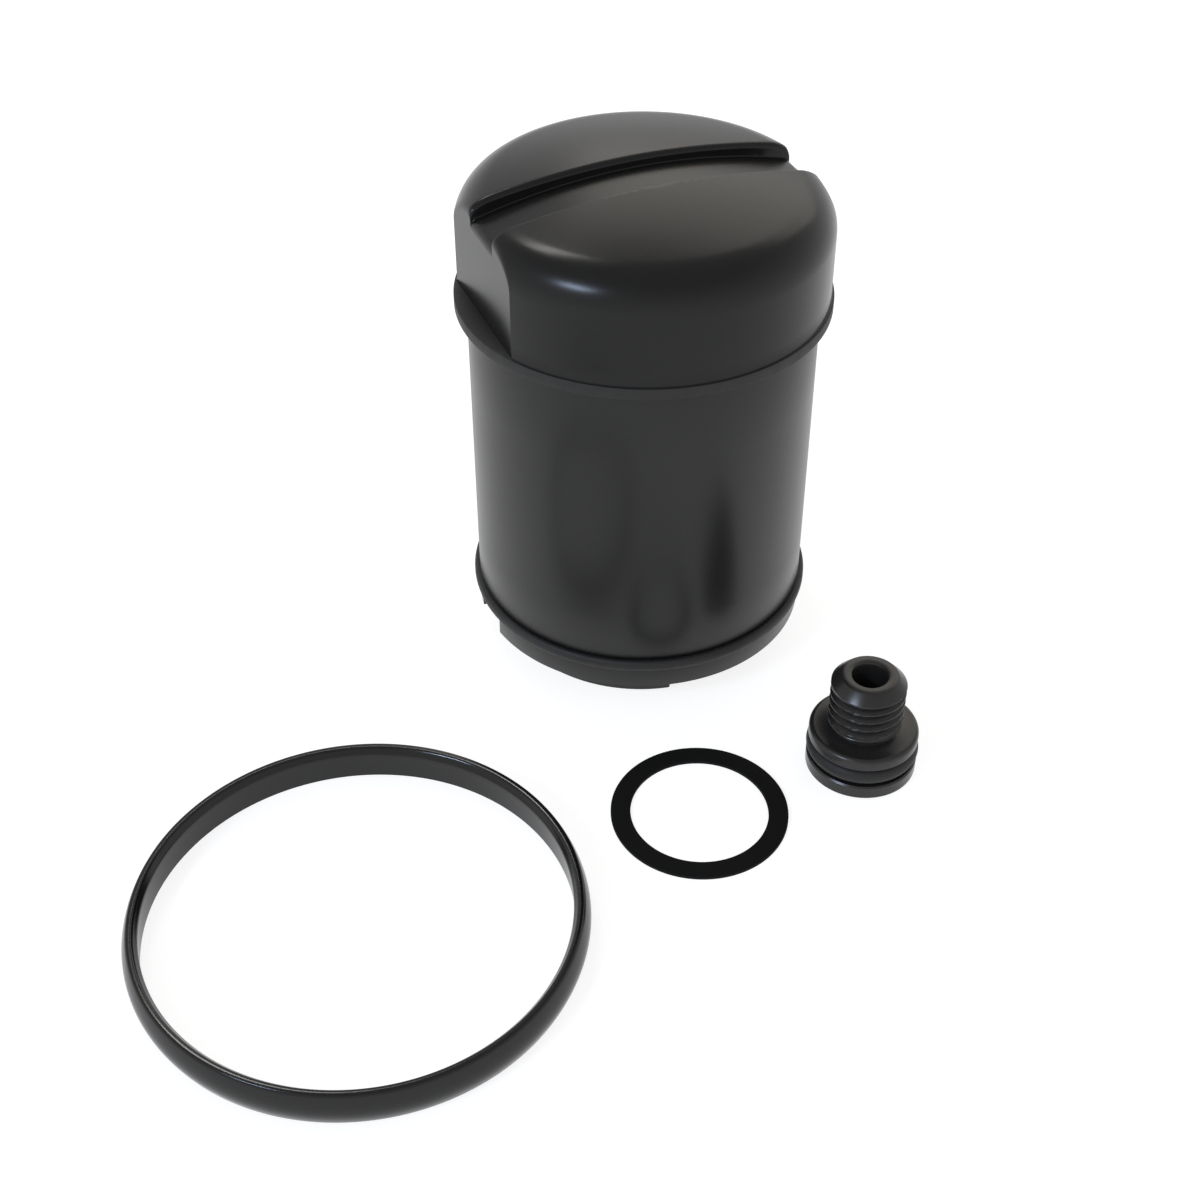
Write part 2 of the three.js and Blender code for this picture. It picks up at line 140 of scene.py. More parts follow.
def softbox(name, place, aim, width, height, power, tint):
    """A rectangular studio lamp at a place, turned to face a point."""
    bpy.ops.object.light_add(type="AREA", location=place)
    lamp = bpy.context.object
    lamp.name = name
    lamp.rotation_euler = (Vector(aim) - Vector(place)).to_track_quat("-Z", "Y").to_euler()
    lamp.data.shape = "RECTANGLE"
    lamp.data.size = width
    lamp.data.size_y = height
    lamp.data.energy = power
    lamp.data.color = linear(tint)[:3]


LAMP_AIM_HEIGHT = 0.12
cap_top = can + Vector((0, 0, LAMP_AIM_HEIGHT))
softbox("right_softbox", cap_top + Vector((0.35, 0.95, 0.70)), cap_top, 1.1, 0.6, 2.4, "#fff6ea")
softbox("rear_strip", cap_top + Vector((-0.417, 0.618, 1.065)), cap_top, 0.42, 0.14, 2.6, "#fffdf8")
softbox("cool_window", cap_top + Vector((-0.76, -0.78, 0.71)), cap_top, 0.34, 0.14, 6, "#cfe0ff")


# ---------------------------------------------------------------------------
# Canister tube.
# Deep-drawn sheet steel, 1.2 mm thick, baked in black enamel inside and out.
# Both of its ends are cut square, and the collar is pressed into the upper one.
# ---------------------------------------------------------------------------
def turned(name, axis, outline, steps=192, start=0.0, closed=True):
    """Draws an outline of (radius, height) points in mm, and spins it about an axis."""
    if closed:
        outline = outline + outline[:1]
    out = Vector((math.cos(start), math.sin(start), 0))
    up = Vector((0, 0, 1))
    spots = [axis + out * radius * MM + up * height * MM for radius, height in outline]
    bpy.ops.object.select_all(action="DESELECT")
    bpy.ops.mesh.primitive_plane_add(size=MM, location=spots[0])
    piece = bpy.context.object
    piece.name = name
    bpy.ops.object.transform_apply(location=True, rotation=True, scale=True)
    bpy.ops.object.mode_set(mode="EDIT")
    bpy.ops.mesh.select_mode(type="VERT")
    bpy.ops.mesh.select_all(action="SELECT")
    bpy.ops.mesh.merge(type="CENTER")
    for here, there in zip(spots, spots[1:]):
        bpy.ops.mesh.extrude_region_move(TRANSFORM_OT_translate={"value": there - here})
    bpy.ops.mesh.select_all(action="SELECT")
    bpy.ops.mesh.remove_doubles(threshold=0.002 * MM)
    bpy.ops.mesh.spin(steps=steps, angle=2 * math.pi, center=axis, axis=up)
    bpy.ops.mesh.select_all(action="SELECT")
    bpy.ops.mesh.remove_doubles(threshold=0.003 * MM)
    bpy.ops.mesh.normals_make_consistent(inside=False)
    bpy.ops.object.mode_set(mode="OBJECT")
    return piece


def pick(piece):
    """Makes a piece the only one that is selected, and the active one."""
    bpy.ops.object.select_all(action="DESELECT")
    piece.select_set(True)
    bpy.context.view_layer.objects.active = piece


def round_edges(piece, width, segments=3, angle=35):
    """Bevels every edge sharper than an angle, by a width in mm."""
    bpy.context.view_layer.objects.active = piece
    bevel = piece.modifiers.new("rounding", "BEVEL")
    bevel.width = width * MM
    bevel.segments = segments
    bevel.limit_method = "ANGLE"
    bevel.angle_limit = math.radians(angle)
    bpy.ops.object.modifier_apply(modifier="rounding")


def smooth(piece, angle=30):
    """Shades a piece smooth, except over edges sharper than an angle."""
    pick(piece)
    bpy.ops.object.shade_smooth_by_angle(angle=math.radians(angle))


def place(piece, body, finish, slot, *nodes):
    """Gives a finished piece its material and its body, and hides the nodes that it stands for."""
    piece.data.materials.clear()
    piece.data.materials.append(finish)
    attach(piece, body)
    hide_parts(*nodes)


TUBE_BORE = 40.8
TUBE_RADIUS = 42.0
CAN_STEPS = 256
tube_low, tube_high = span("body_tube")
tube = turned("canister_tube", can, (
    [(TUBE_BORE, tube_low)]
    + [(TUBE_RADIUS, height) for height in (tube_low, 30, 45, 60, 75, tube_high)]
    + [(TUBE_BORE, height) for height in (tube_high, 60, 40)]
), steps=CAN_STEPS)
round_edges(tube, 0.3)
smooth(tube)

# Baked enamel on drawn steel: black, with the faint orange peel of a sprayed and stoved coat.
# The peel's waves are about 2 mm across and a few thousandths of a millimetre high.
black_enamel, tree = new_finish("baked_black_enamel")
spot = add(tree, "ShaderNodeTexCoord", {})
peel = add(tree, "ShaderNodeTexNoise", {
    "Vector": spot.outputs["Object"], "Scale": 450.0, "Detail": 2.0})
clouds = add(tree, "ShaderNodeTexNoise", {
    "Vector": spot.outputs["Object"], "Scale": 40.0, "Detail": 3.0})
shade = add(tree, "ShaderNodeMix", {
    "Factor": clouds.outputs["Fac"], "A": linear("#0d0d0d"), "B": linear("#121211")}, data_type="RGBA")
gloss = add(tree, "ShaderNodeMapRange", {
    "Value": clouds.outputs["Fac"], "To Min": 0.27, "To Max": 0.33})
bump = add(tree, "ShaderNodeBump", {
    "Height": peel.outputs["Fac"], "Strength": 0.12, "Distance": 0.02 * MM})
surface = add(tree, "ShaderNodeBsdfPrincipled", {
    "Base Color": shade.outputs["Result"], "Roughness": gloss.outputs["Result"],
    "Normal": bump.outputs["Normal"], "IOR": 1.42})
add(tree, "ShaderNodeOutputMaterial", {"Surface": surface.outputs["BSDF"]})
place(tube, "canister", black_enamel, "black_enamel", "body_tube")

# ---------------------------------------------------------------------------
# Seam bead.
# The double seam that joins the base to the tube, a rolled steel bead.
# It is coated after rolling with a rougher black sealing paint.
# ---------------------------------------------------------------------------
bead = turned("rolled_seam", can, [
    (41.2, 13.45), (42.9, 13.45), (43.2, 13.75), (43.35, 14.3), (43.35, 15.2), (43.15, 15.8),
    (42.7, 16.2), (42.2, 16.25), (41.2, 16.25),
], steps=CAN_STEPS)
round_edges(bead, 0.2, 2)
smooth(bead, 50)

# Sealing paint on steel: matt black with a fine sandy texture of grains about 0.4 mm across.
sealing_paint, tree = new_finish("textured_sealing_paint")
spot = add(tree, "ShaderNodeTexCoord", {})
grit = add(tree, "ShaderNodeTexNoise", {
    "Vector": spot.outputs["Object"], "Scale": 2200.0, "Detail": 3.0})
patches = add(tree, "ShaderNodeTexNoise", {
    "Vector": spot.outputs["Object"], "Scale": 350.0, "Detail": 2.0})
shade = add(tree, "ShaderNodeMix", {
    "Factor": grit.outputs["Fac"], "A": linear("#101010"), "B": linear("#1c1c1b")}, data_type="RGBA")
gloss = add(tree, "ShaderNodeMapRange", {
    "Value": patches.outputs["Fac"], "To Min": 0.5, "To Max": 0.66})
bump = add(tree, "ShaderNodeBump", {
    "Height": grit.outputs["Fac"], "Strength": 0.5, "Distance": 0.06 * MM})
surface = add(tree, "ShaderNodeBsdfPrincipled", {
    "Base Color": shade.outputs["Result"], "Roughness": gloss.outputs["Result"],
    "Normal": bump.outputs["Normal"], "IOR": 1.45})
add(tree, "ShaderNodeOutputMaterial", {"Surface": surface.outputs["BSDF"]})
place(bead, "canister", sealing_paint, "textured_black", "seam_bead")


# ---------------------------------------------------------------------------
# Base skirt.
# A pressed steel ring below the seam, enamelled like the tube.
# Two notches in its lower edge stand under the cap's flats.
# ---------------------------------------------------------------------------
def turn_of(point, axis):
    """The plan angle of a point about an axis, in degrees from 0 to 360."""
    return math.degrees(math.atan2(point.y - axis.y, point.x - axis.x)) % 360


def away(angle, other):
    """The angle between two plan directions, in degrees."""
    return abs((angle - other + 180) % 360 - 180)


def reach_of(point, axis):
    """The distance of a point from an axis, in mm."""
    return math.hypot(point.x - axis.x, point.y - axis.y) / MM


def pick_faces(piece, wanted):
    """In edit mode, selects only the faces whose middle passes a test."""
    bpy.ops.mesh.select_mode(type="FACE")
    bpy.ops.mesh.select_all(action="DESELECT")
    body = bmesh.from_edit_mesh(piece.data)
    for face in body.faces:
        face.select_set(wanted(face.calc_center_median(), face.normal))
    bmesh.update_edit_mesh(piece.data)


def edit(piece):
    """Opens a piece in edit mode, with its vertices shown for picking."""
    pick(piece)
    bpy.ops.object.mode_set(mode="EDIT")
    bpy.ops.mesh.select_mode(type="VERT")


# The plan angle of the cap's channel and flats, and of everything that lines up with them,
# and the width of a notch as seen from the axis, both in degrees.
TURN = 22.5
NOTCH = 16.5
SKIRT_STEPS = 240
SKIRT_DROP = 5.45
skirt = turned("notched_skirt", can, [
    (39.6, 13.15), (42.1, 13.15), (42.1, 13.16), (40.9, 13.16), (40.9, 16.2), (39.6, 16.2),
], steps=SKIRT_STEPS, start=math.radians(TURN + 180 / SKIRT_STEPS))
edit(skirt)
pick_faces(skirt, lambda spot, normal: normal.z < -0.9 and min(
    away(turn_of(spot, can), TURN), away(turn_of(spot, can), TURN + 180)) > NOTCH / 2)
bpy.ops.mesh.extrude_region_move(TRANSFORM_OT_translate={"value": (0, 0, -SKIRT_DROP * MM)})
bpy.ops.object.mode_set(mode="OBJECT")
round_edges(skirt, 0.25, 2)
smooth(skirt)
place(skirt, "canister", black_enamel, "black_enamel", "base_skirt")

# ---------------------------------------------------------------------------
# Lug ring.
# A steel ring inside the skirt that carries four feet, which the filter stands on.
# The feet are turned and milled from the ring, and enamelled with it.
# ---------------------------------------------------------------------------
# The number of feet, how far they stand out, and half a foot's width in degrees.
FEET = 4
FOOT_HEIGHT = 4.6
FOOT_HALF_WIDTH = 35
lugs = turned("foot_ring", can, [
    (31.8, FOOT_HEIGHT), (35.3, FOOT_HEIGHT), (35.3, 9.2), (31.8, 9.2),
], steps=288, start=math.radians(TURN))
edit(lugs)
pick_faces(lugs, lambda spot, normal: normal.z < -0.9 and min(
    away(turn_of(spot, can), TURN + 45 + 90 * i) for i in range(FEET)) < FOOT_HALF_WIDTH)
bpy.ops.mesh.extrude_region_move(TRANSFORM_OT_translate={"value": (0, 0, -FOOT_HEIGHT * MM)})
bpy.ops.object.mode_set(mode="OBJECT")
round_edges(lugs, 0.5, 3)
smooth(lugs)
place(lugs, "canister", black_enamel, "black_enamel", "lug_ring")


# ---------------------------------------------------------------------------
# Base plate.
# A thick pressed steel plate with eight inlet holes and a raised, tapped boss.
# It is zinc plated and carries the oil pressure.
# ---------------------------------------------------------------------------
def levels(radius, bottom, top, count):
    """Outline points up a straight wall, close enough together to cut a thread in."""
    return [(radius, bottom + (top - bottom) * i / count) for i in range(count + 1)]


# A thread's form: how steep its flanks are, how wide its flat is,
# and how many pitches it fades over.
THREAD_SLOPE = 2.6
THREAD_FLAT = 0.15
THREAD_FADE = 0.4


def cut_thread(piece, axis, radius, bottom, top, pitch, depth, inward=True):
    """Cuts a screw thread in a turned wall, by moving its vertices in or out along a helix."""
    sign = -1 if inward else 1
    for vertex in piece.data.vertices:
        height = vertex.co.z / MM
        reach = reach_of(vertex.co, axis)
        if abs(reach - radius) > 0.05 or not bottom <= height <= top:
            continue
        turn = turn_of(vertex.co, axis) / 360
        phase = (height / pitch - turn) % 1
        tooth = min(1, max(0, abs(phase - 0.5) * THREAD_SLOPE - THREAD_FLAT))
        fade = THREAD_FADE * pitch
        runout = min(1, (height - bottom) / fade, (top - height) / fade)
        moved = reach + sign * depth * tooth * max(0, runout)
        vertex.co.x = axis.x + (vertex.co.x - axis.x) * moved / reach
        vertex.co.y = axis.y + (vertex.co.y - axis.y) * moved / reach


def cut_out(piece, cutter):
    """Takes the cutter's shape out of a piece."""
    bpy.context.view_layer.objects.active = piece
    cut = piece.modifiers.new("cut", "BOOLEAN")
    cut.operation = "DIFFERENCE"
    cut.solver = "EXACT"
    cut.object = cutter
    bpy.ops.object.modifier_apply(modifier="cut")
    bpy.data.objects.remove(cutter, do_unlink=True)


def drills(name, places, radius, depth, sides=32):
    """Round cutters, joined in one object. Each place is a middle and a rotation."""
    bpy.ops.object.select_all(action="DESELECT")
    made = []
    for middle, rotation in places:
        bpy.ops.mesh.primitive_cylinder_add(
            vertices=sides, radius=radius * MM, depth=depth * MM, location=middle, rotation=rotation)
        made.append(bpy.context.object)
    for one in made:
        one.select_set(True)
    bpy.context.view_layer.objects.active = made[0]
    if len(made) > 1:
        bpy.ops.object.join()
    bpy.context.object.name = name
    bpy.ops.object.transform_apply(location=True, rotation=True, scale=True)
    return bpy.context.object


BOSS_BORE = 9.3
BOSS_PITCH = 1.5
BOSS_THREAD_DEPTH = 0.75
INLETS = 8
INLET_RADIUS = 3.0
INLET_CIRCLE = 19.5
PLATE_MIDDLE = 11.2
plate = turned("tapped_plate", can, [
    (BOSS_BORE, 9.5), (28, 9.5), (28.4, 9.9), (30.6, 9.9), (31.0, 9.5), (39.3, 9.5),
    (39.3, 12.9), (13.6, 12.9), (12.5, 14), (12.5, 24),
] + levels(BOSS_BORE, 23.6, 10.0, 68), steps=144)
round_edges(plate, 0.3, 2, 50)
inlet_turns = [math.radians(TURN + 360 / INLETS * i) for i in range(INLETS)]
inlets = [Vector((can.x + INLET_CIRCLE * MM * math.cos(turn),
                  can.y + INLET_CIRCLE * MM * math.sin(turn), PLATE_MIDDLE * MM))
          for turn in inlet_turns]
cut_out(plate, drills("inlet_drills", [(middle, (0, 0, 0)) for middle in inlets], INLET_RADIUS, 8))
cut_thread(plate, can, BOSS_BORE, 10.0, 23.6, BOSS_PITCH, BOSS_THREAD_DEPTH, inward=False)
smooth(plate, 35)

# Zinc-plated steel: a pale passivated metal with a soft, cloudy spangle and a fine grain.
zinc, tree = new_finish("zinc_plated_steel")
spot = add(tree, "ShaderNodeTexCoord", {})
clouds = add(tree, "ShaderNodeTexNoise", {
    "Vector": spot.outputs["Object"], "Scale": 160.0, "Detail": 4.0})
fine = add(tree, "ShaderNodeTexNoise", {
    "Vector": spot.outputs["Object"], "Scale": 1500.0, "Detail": 2.0})
shade = add(tree, "ShaderNodeMix", {
    "Factor": clouds.outputs["Fac"], "A": linear("#9f9d95"), "B": linear("#c6c4ba")}, data_type="RGBA")
gloss = add(tree, "ShaderNodeMapRange", {
    "Value": clouds.outputs["Fac"], "To Min": 0.3, "To Max": 0.48})
bump = add(tree, "ShaderNodeBump", {
    "Height": fine.outputs["Fac"], "Strength": 0.2, "Distance": 0.02 * MM})
surface = add(tree, "ShaderNodeBsdfPrincipled", {
    "Base Color": shade.outputs["Result"], "Roughness": gloss.outputs["Result"],
    "Normal": bump.outputs["Normal"], "Metallic": 1.0})
add(tree, "ShaderNodeOutputMaterial", {"Surface": surface.outputs["BSDF"]})
place(plate, "canister", zinc, "zinc_steel", "base_plate")

# ---------------------------------------------------------------------------
# Base gasket.
# The moulded nitrile ring that seals the filter against its seat.
# It has a rectangular section with soft corners and a shallow groove in its face.
# ---------------------------------------------------------------------------
gasket = turned("seat_gasket", can, [
    (24.5, 5.8), (26.0, 5.8), (26.5, 6.2), (27.5, 6.2), (28.0, 5.8), (29.5, 5.8),
    (29.5, 9.2), (24.5, 9.2),
], steps=160)
round_edges(gasket, 0.35, 3)
smooth(gasket, 50)

# Nitrile rubber: matt black, with a bloom that shows as faint paler clouds.
rubber, tree = new_finish("moulded_nitrile_rubber")
spot = add(tree, "ShaderNodeTexCoord", {})
bloom = add(tree, "ShaderNodeTexNoise", {
    "Vector": spot.outputs["Object"], "Scale": 300.0, "Detail": 4.0})
shade = add(tree, "ShaderNodeMix", {
    "Factor": bloom.outputs["Fac"], "A": linear("#0f0f0f"), "B": linear("#1b1b1a")}, data_type="RGBA")
gloss = add(tree, "ShaderNodeMapRange", {
    "Value": bloom.outputs["Fac"], "To Min": 0.5, "To Max": 0.68})
bump = add(tree, "ShaderNodeBump", {
    "Height": bloom.outputs["Fac"], "Strength": 0.15, "Distance": 0.03 * MM})
surface = add(tree, "ShaderNodeBsdfPrincipled", {
    "Base Color": shade.outputs["Result"], "Roughness": gloss.outputs["Result"],
    "Normal": bump.outputs["Normal"], "IOR": 1.45})
add(tree, "ShaderNodeOutputMaterial", {"Surface": surface.outputs["BSDF"]})
place(gasket, "canister", rubber, "black_rubber", "base_gasket")

# ---------------------------------------------------------------------------
# Anti-drain valve.
# A thin silicone disc that lies over the inlet holes and lifts when oil is pumped in.
# Its inner edge is a thick bead that grips the boss.
# ---------------------------------------------------------------------------
flap = turned("drain_flap_disc", can, [
    (13.0, 13.2), (24.2, 13.2), (24.9, 13.1), (25.5, 13.2), (25.5, 13.9), (24.9, 14.2), (24.0, 13.95),
    (16.0, 14.1), (14.6, 14.2), (14.3, 14.7), (13.0, 14.7),
], steps=160)
round_edges(flap, 0.15, 2, 50)
smooth(flap, 60)

# Silicone rubber: a dull brick-orange, slightly waxy, with a fine moulded grain.
silicone, tree = new_finish("orange_silicone_rubber")
spot = add(tree, "ShaderNodeTexCoord", {})
grain = add(tree, "ShaderNodeTexNoise", {
    "Vector": spot.outputs["Object"], "Scale": 500.0, "Detail": 3.0})
shade = add(tree, "ShaderNodeMix", {
    "Factor": grain.outputs["Fac"], "A": linear("#8d3a1c"), "B": linear("#a24a26")}, data_type="RGBA")
gloss = add(tree, "ShaderNodeMapRange", {
    "Value": grain.outputs["Fac"], "To Min": 0.42, "To Max": 0.56})
bump = add(tree, "ShaderNodeBump", {
    "Height": grain.outputs["Fac"], "Strength": 0.15, "Distance": 0.02 * MM})
surface = add(tree, "ShaderNodeBsdfPrincipled", {
    "Base Color": shade.outputs["Result"], "Roughness": gloss.outputs["Result"],
    "Normal": bump.outputs["Normal"], "IOR": 1.41, "Subsurface Weight": 0.08})
add(tree, "ShaderNodeOutputMaterial", {"Surface": surface.outputs["BSDF"]})
place(flap, "drain_flap", silicone, "valve_rubber", "anti_drain_valve")

# ---------------------------------------------------------------------------
# Mouth collar.
# A turned steel ring pressed into the tube's mouth, with a flange that the cap closes against.
# Its bore is tapped for the cap, and it has the same sandy paint as the seam.
# ---------------------------------------------------------------------------
MOUTH_PITCH = 4.0
COLLAR_BORE = 39.7
COLLAR_THREAD_DEPTH = 0.35
collar = turned("threaded_collar", can, [
    (40.5, 84), (40.5, 94.8), (44.9, 94.8), (44.9, 97.65), (COLLAR_BORE, 97.65),
] + levels(COLLAR_BORE, 92.5, 84.8, 44) + [(40.1, 84)], steps=CAN_STEPS)
round_edges(collar, 0.45, 3, 50)
cut_thread(collar, can, COLLAR_BORE, 85.0, 92.4, MOUTH_PITCH, COLLAR_THREAD_DEPTH, inward=False)
smooth(collar)
place(collar, "canister", sealing_paint, "textured_black", "mouth_collar")

# ---------------------------------------------------------------------------
# Threaded cap.
# A die-cast aluminium cover with a shallow domed crown, a wide rounded shoulder and a threaded neck.
# A channel for a spanner bar crosses the enamelled crown, between two flats milled in the sides.
# ---------------------------------------------------------------------------
WALL = 44.2
FILLET = 10.4
FILLET_HEIGHT = 114.07
CROWN_RADIUS = 192.5
CROWN_TOP = 127.64
FLAT = 40.15
FLAT_EDGE = 2.4
SHELL = 5.0
CEILING_REACH = 30.4
CEILING_CORNER = 5
NECK = 39.3
NECK_THREAD_DEPTH = 0.7
SKIN_BOTTOM = 108
FACE_NEAR_SKIN = 0.6
POINT_NEAR_SKIN = 0.15
crown_middle = CROWN_TOP - CROWN_RADIUS
fillet_middle = WALL - FILLET
shoulder = math.atan2(FILLET_HEIGHT - crown_middle, fillet_middle)
crown_reach = CROWN_RADIUS * math.cos(shoulder)
along = Vector((math.cos(math.radians(TURN)), math.sin(math.radians(TURN)), 0))
across = Vector((-along.y, along.x, 0))

# The channel across the crown: its near and far walls, its floor's height and fall,
# its rounded corners, and how near to a wall's line a point counts as on it.
NEAR_WALL = -8.0
FAR_WALL = 6.35
FLOOR_HEIGHT = 124.9
FLOOR_RADIUS = 150
NEAR_LIP = 0.3
FAR_LIP = 1.5
FOOT = 0.35
ON_LINE = 0.005


def crown_height(reach):
    """Height of the cap's skin, before the channel is cut, at a distance from the axis."""
    if reach < crown_reach:
        return crown_middle + math.sqrt(CROWN_RADIUS ** 2 - reach ** 2)
    return FILLET_HEIGHT + math.sqrt(max(0, FILLET ** 2 - (reach - fillet_middle) ** 2))


def corner_drop(radius, out):
    """How far a rounded corner lies below its flat, at a distance from the corner's middle."""
    return radius - math.sqrt(max(0, radius ** 2 - out ** 2))


def skin_height(run, side):
    """Height of the cap's finished skin, at a distance along and across the channel."""
    skin = crown_height(math.hypot(run, side))
    if side <= NEAR_WALL + ON_LINE:
        return skin - corner_drop(NEAR_LIP, max(0, side - NEAR_WALL + NEAR_LIP))
    if side >= FAR_WALL - ON_LINE:
        return skin - corner_drop(FAR_LIP, max(0, FAR_WALL + FAR_LIP - side))
    floor = FLOOR_HEIGHT - corner_drop(FLOOR_RADIUS, run)
    return min(skin, floor + corner_drop(FOOT, max(0, side - FAR_WALL + FOOT)))


def arc(radius, height, size, first, last, steps):
    """Outline points round an arc, between two angles in degrees."""
    turns = [math.radians(first + (last - first) * i / steps) for i in range(steps + 1)]
    return [(radius + size * math.cos(turn), height + size * math.sin(turn)) for turn in turns]


ceiling = CROWN_RADIUS - SHELL
corner = math.degrees(math.acos(CEILING_REACH / ceiling))
corner_height = crown_middle + ceiling * math.sin(math.radians(corner))
cap = turned("domed_cap", can, (
    arc(0, crown_middle, ceiling, 90, corner, 6)
    + arc(CEILING_REACH, corner_height - CEILING_CORNER, CEILING_CORNER, 80, 0, 5)
    + [(35.4, 91.5), (36.9, 91.2), (36.9, 85.65), (38.6, 85.65), (NECK, 86.3)]
    + levels(NECK, 86.4, 92.6, 46)
    + [(NECK, 93.2), (37.0, 93.2), (37.0, 96.0), (NECK, 96.0), (NECK, 97.68), (44.5, 97.68),
       (44.3, 97.85)]
    + [(WALL, height) for height in (98.2, 101, 104, 107, 110.5)]
    + arc(fillet_middle, FILLET_HEIGHT, FILLET, 0, math.degrees(shoulder), 22)
    + arc(0, crown_middle, CROWN_RADIUS, math.degrees(shoulder), 90, 22)[1:]
), steps=CAN_STEPS, closed=False)
cut_thread(cap, can, NECK, 86.4, 92.6, MOUTH_PITCH, NECK_THREAD_DEPTH)
edit(cap)


def is_skin(point):
    """Whether a point lies on the cap's shoulder or crown, outside."""
    reach = reach_of(point, can)
    return point.z / MM > SKIN_BOTTOM and abs(point.z / MM - crown_height(reach)) < FACE_NEAR_SKIN


def slice_skin(away_along, away_across, normal):
    """Adds a straight edge line in the skin, at a distance from the cap's axis."""
    pick_faces(cap, lambda point, facing: is_skin(point) and facing.z > 0.02)
    bpy.ops.mesh.bisect(
        plane_co=can + along * away_along * MM + across * away_across * MM, plane_no=normal,
        threshold=0.001 * MM)


EDGE_STEPS = 7
FOOT_STEPS = 4
BALL_STEPS = 60
foot_turns = [math.radians(90 * i / FOOT_STEPS) for i in range(FOOT_STEPS + 1)]
lip_turns = [math.radians(90 * i / EDGE_STEPS) for i in range(EDGE_STEPS + 1)]
floor_lines = [-5.4, -2.7, 0, 2.7]
channel_lines = (
    [NEAR_WALL - NEAR_LIP, NEAR_WALL - NEAR_LIP / 2, NEAR_WALL - 0.03, NEAR_WALL, NEAR_WALL + 0.02]
    + floor_lines
    + [FAR_WALL - 0.02 - FOOT * (1 - math.sin(turn)) for turn in foot_turns]
    + [FAR_WALL + FAR_LIP * (1 - math.cos(turn)) for turn in lip_turns])
for line in channel_lines:
    slice_skin(0, line, across)
for way in (1, -1):
    bpy.ops.mesh.select_all(action="SELECT")
    bpy.ops.mesh.bisect(
        plane_co=can + along * way * FLAT * MM, plane_no=along * way, clear_outer=True, use_fill=True,
        threshold=0.001 * MM)
for step in range(1, EDGE_STEPS + 1):
    inset = FLAT_EDGE * (1 - math.cos(math.pi / 2 * step / EDGE_STEPS))
    for way in (1, -1):
        slice_skin(way * (FLAT - inset), 0, along)
bpy.ops.object.mode_set(mode="OBJECT")

# The flats' upper edges are rounded: a ball of the edge's radius is rolled along under the skin.
core = FLAT - FLAT_EDGE
ball_spots = [core + FLAT_EDGE * i / BALL_STEPS for i in range(BALL_STEPS + 1)]
for vertex in cap.data.vertices:
    offset = vertex.co - can
    run, side = offset.dot(along) / MM, offset.dot(across) / MM
    reach, height = math.hypot(run, side), offset.z / MM
    off_skin = abs(height - crown_height(reach)) > POINT_NEAR_SKIN
    if height < SKIN_BOTTOM or off_skin or reach > WALL - 0.001:
        continue
    new_height = skin_height(run, side)
    if abs(run) > core:
        ball_heights = [
            skin_height(spot, side) - math.sqrt(max(0, FLAT_EDGE ** 2 - (spot - core) ** 2))
            for spot in ball_spots]
        lowest = ball_heights.index(min(ball_heights))
        if abs(run) >= ball_spots[lowest]:
            new_height = (ball_heights[lowest]
                          + math.sqrt(max(0, FLAT_EDGE ** 2 - (abs(run) - core) ** 2)))
    vertex.co.z = new_height * MM
smooth(cap, 32)
# The two milled flats are the only large faces, and they stay flat.
for face in cap.data.polygons:
    if len(face.vertices) > 60 and abs(face.normal.dot(along)) > 0.99:
        face.use_smooth = False

# Enamel on cast aluminium: the same black coat as the tube, smoother over the cast skin,
# and a little less reflective.
cast_enamel, tree = new_finish("enamelled_cast_aluminium")
spot = add(tree, "ShaderNodeTexCoord", {})
peel = add(tree, "ShaderNodeTexNoise", {
    "Vector": spot.outputs["Object"], "Scale": 450.0, "Detail": 2.0})
clouds = add(tree, "ShaderNodeTexNoise", {
    "Vector": spot.outputs["Object"], "Scale": 40.0, "Detail": 3.0})
shade = add(tree, "ShaderNodeMix", {
    "Factor": clouds.outputs["Fac"], "A": linear("#0f0f0e"), "B": linear("#141413")}, data_type="RGBA")
gloss = add(tree, "ShaderNodeMapRange", {
    "Value": clouds.outputs["Fac"], "To Min": 0.22, "To Max": 0.27})
bump = add(tree, "ShaderNodeBump", {
    "Height": peel.outputs["Fac"], "Strength": 0.12, "Distance": 0.02 * MM})
surface = add(tree, "ShaderNodeBsdfPrincipled", {
    "Base Color": shade.outputs["Result"], "Roughness": gloss.outputs["Result"],
    "Normal": bump.outputs["Normal"], "IOR": 1.34})
add(tree, "ShaderNodeOutputMaterial", {"Surface": surface.outputs["BSDF"]})
place(cap, "cap", cast_enamel, "black_enamel", "threaded_cap")

# ---------------------------------------------------------------------------
# Cap O-ring.
# A nitrile cord ring in the groove above the cap's thread.
# It seals the neck in the collar's bore.
# ---------------------------------------------------------------------------
cap_seal = turned("cap_cord_ring", can, arc(38.4, 94.6, 1.1, 0, 337.5, 15), steps=192)
smooth(cap_seal, 60)
place(cap_seal, "cap_seal", rubber, "black_rubber", "cap_o_ring")


# ---------------------------------------------------------------------------
# Pleated filter paper.
# One sheet of resin-stiffened cellulose, folded into 56 pleats and closed into a ring.
# ---------------------------------------------------------------------------
def thicken(piece, thickness):
    """Gives a bare sheet a thickness in mm, half on each side."""
    bpy.context.view_layer.objects.active = piece
    wall = piece.modifiers.new("sheet", "SOLIDIFY")
    wall.thickness = thickness * MM
    wall.offset = 0
    bpy.ops.object.modifier_apply(modifier="sheet")


PLEATS = 56
FOLD_POINTS = 8
PAPER_ROWS = 6
